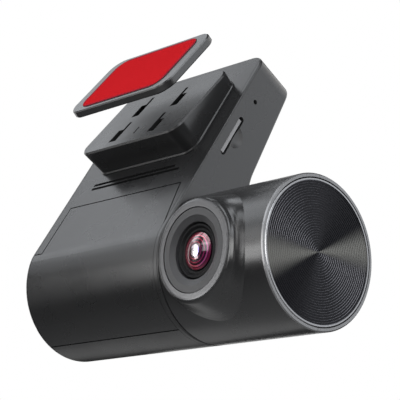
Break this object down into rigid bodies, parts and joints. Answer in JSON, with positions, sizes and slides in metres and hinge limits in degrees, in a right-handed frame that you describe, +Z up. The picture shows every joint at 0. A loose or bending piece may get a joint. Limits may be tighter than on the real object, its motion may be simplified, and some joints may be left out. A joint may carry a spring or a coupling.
{
  "type": "dash camera",
  "caption": "Windscreen dash camera: tube body with flat tongue, turning lens barrel with spun end disc, slotted mount block and adhesive mount plate.",
  "frame": {"origin": "centre of the adhesive face on the mount plate, on the outer side of its release liner", "axes": "+X along the barrel axis from the housing to the spun end disc, -Y the way the lens looks, +Z up; the adhesive face leans with its normal forward and up"},
  "size_m": [0.0853, 0.0453, 0.0802],
  "materials": {
    "shell": "satin moulded, fine texture",
    "block": "satin moulded",
    "plate": "satin moulded",
    "foam": "closed-cell acrylic foam",
    "liner": "glossy release film",
    "spun_disc": "black anodised, spun with fine rings",
    "trim": "black anodised, bright cut edge",
    "lens_black": "fine matt",
    "lens_trim": "satin",
    "lens_glass": "coated glass",
    "hub": "acetal",
    "steel": "plated steel",
    "board": "solder resist",
    "chip": "moulded epoxy",
    "sink": "plain",
    "gap_pad": "silicone",
    "sleeve": "shrink sleeve",
    "flex": "polyimide",
    "card": "moulded",
    "button": "moulded"
  },
  "bodies": {
    "mount": {"mount_plate": "plate", "adhesive_pad": "foam", "release_liner": "liner"},
    "camera": {"antenna": "flex", "block_screws": "steel", "board_screws": "steel", "capacitor_cradle": "hub", "capacitor_lower": "sleeve", "capacitor_upper": "sleeve", "card_socket": "steel", "friction_washer": "steel", "front_cover": "shell", "heat_sink": "sink", "inductor": "chip", "left_cover": "shell", "main_board": "board", "main_housing": "shell", "memory_chip": "chip", "microphone": "chip", "mount_block": "block", "power_chip": "chip", "power_contacts": "chip", "power_socket": "steel", "processor": "chip", "reset_switch": "chip", "ribbon_cable": "flex", "ribbon_connector": "chip", "shield_can": "steel", "side_plate": "shell", "side_plate_screws": "steel", "speaker": "chip", "thermal_pad": "gap_pad"},
    "lens_barrel": {"barrel_front_shell": "shell", "barrel_rear_shell": "shell", "barrel_hub": "hub", "retaining_ring": "steel", "end_disc": "spun_disc", "end_plate": "lens_black", "end_ring": "trim", "lens_bezel": "lens_trim", "lens_tube": "lens_black", "lens_retainer": "lens_black", "front_lens": "lens_glass", "lens_spacer": "lens_black", "middle_lens": "lens_glass", "rear_lens": "lens_glass", "lens_holder": "lens_black", "ir_filter": "lens_glass", "image_sensor": "chip", "sensor_board": "board", "sensor_flex": "flex", "hub_screws": "steel", "sensor_screws": "steel"},
    "memory_card": {"memory_card": "card"},
    "reset_button": {"reset_plunger": "button"}
  },
  "joints": [
    {"name": "camera_dock", "type": "slide", "parent": "mount", "child": "camera", "axis": [0, -0.279, 0.9603], "range_m": [0, 0.00924]},
    {"name": "barrel_turn", "type": "hinge", "parent": "camera", "child": "lens_barrel", "pos_m": [0.02395, 0.00603, -0.0534], "axis": [1, 0, 0], "range_deg": [-60, 60]},
    {"name": "card_eject", "type": "slide", "parent": "camera", "child": "memory_card", "axis": [1, 0, 0], "range_m": [-0.0005, 0.016]},
    {"name": "reset_press", "type": "slide", "parent": "camera", "child": "reset_button", "axis": [-1, 0, 0], "range_m": [0, 0.00025], "stiffness_N_per_m": 2000}
  ]
}
